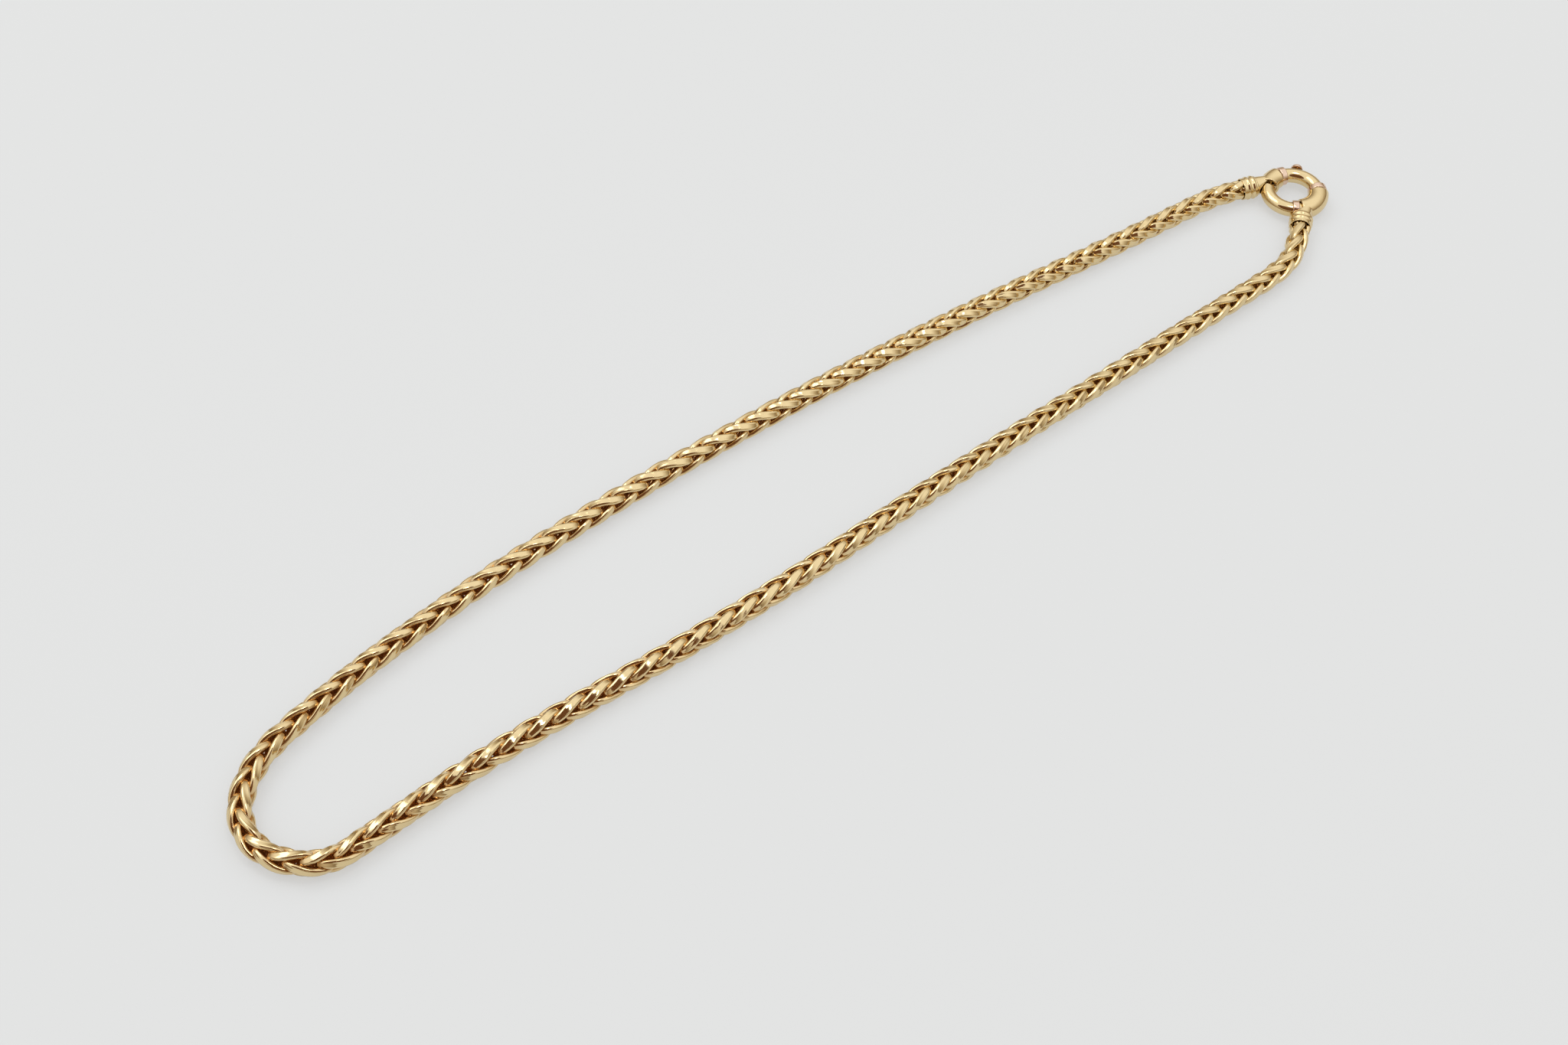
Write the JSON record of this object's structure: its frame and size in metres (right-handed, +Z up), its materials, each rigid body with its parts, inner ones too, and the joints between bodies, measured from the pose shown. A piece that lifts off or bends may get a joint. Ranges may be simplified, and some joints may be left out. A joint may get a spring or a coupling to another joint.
{
  "type": "wheat chain necklace",
  "caption": "Gold wheat chain necklace of woven oval links, closed by a bolt ring whose sprung bolt slides back to open it.",
  "frame": {"origin": "under the middle of the whole necklace's box, on the surface it lies on", "axes": "+X along the loop from the front of the chain to the clasp, +Z up from the surface"},
  "size_m": [0.2226, 0.0336, 0.0043],
  "materials": {
    "yellow_gold": "polished yellow gold",
    "rose_gold": "polished rose gold"
  },
  "bodies": {
    "necklace": {"chain_far": "yellow_gold", "chain_near": "yellow_gold", "end_cap_far": "yellow_gold", "end_cap_near": "yellow_gold", "clasp_ring": "yellow_gold", "mouth_collar": "rose_gold", "stop_collar": "rose_gold", "last_collar": "rose_gold"},
    "bolt": {"bolt": "yellow_gold", "bolt_knob": "rose_gold"}
  },
  "joints": [
    {"name": "bolt_slide", "type": "hinge", "parent": "necklace", "child": "bolt", "pos_m": [0.10535, -0.00145, 0.00214], "axis": [0, 0, -1], "range_deg": [0, 50], "stiffness_Nm_per_rad": 0.006, "springref_deg": -22.92}
  ]
}
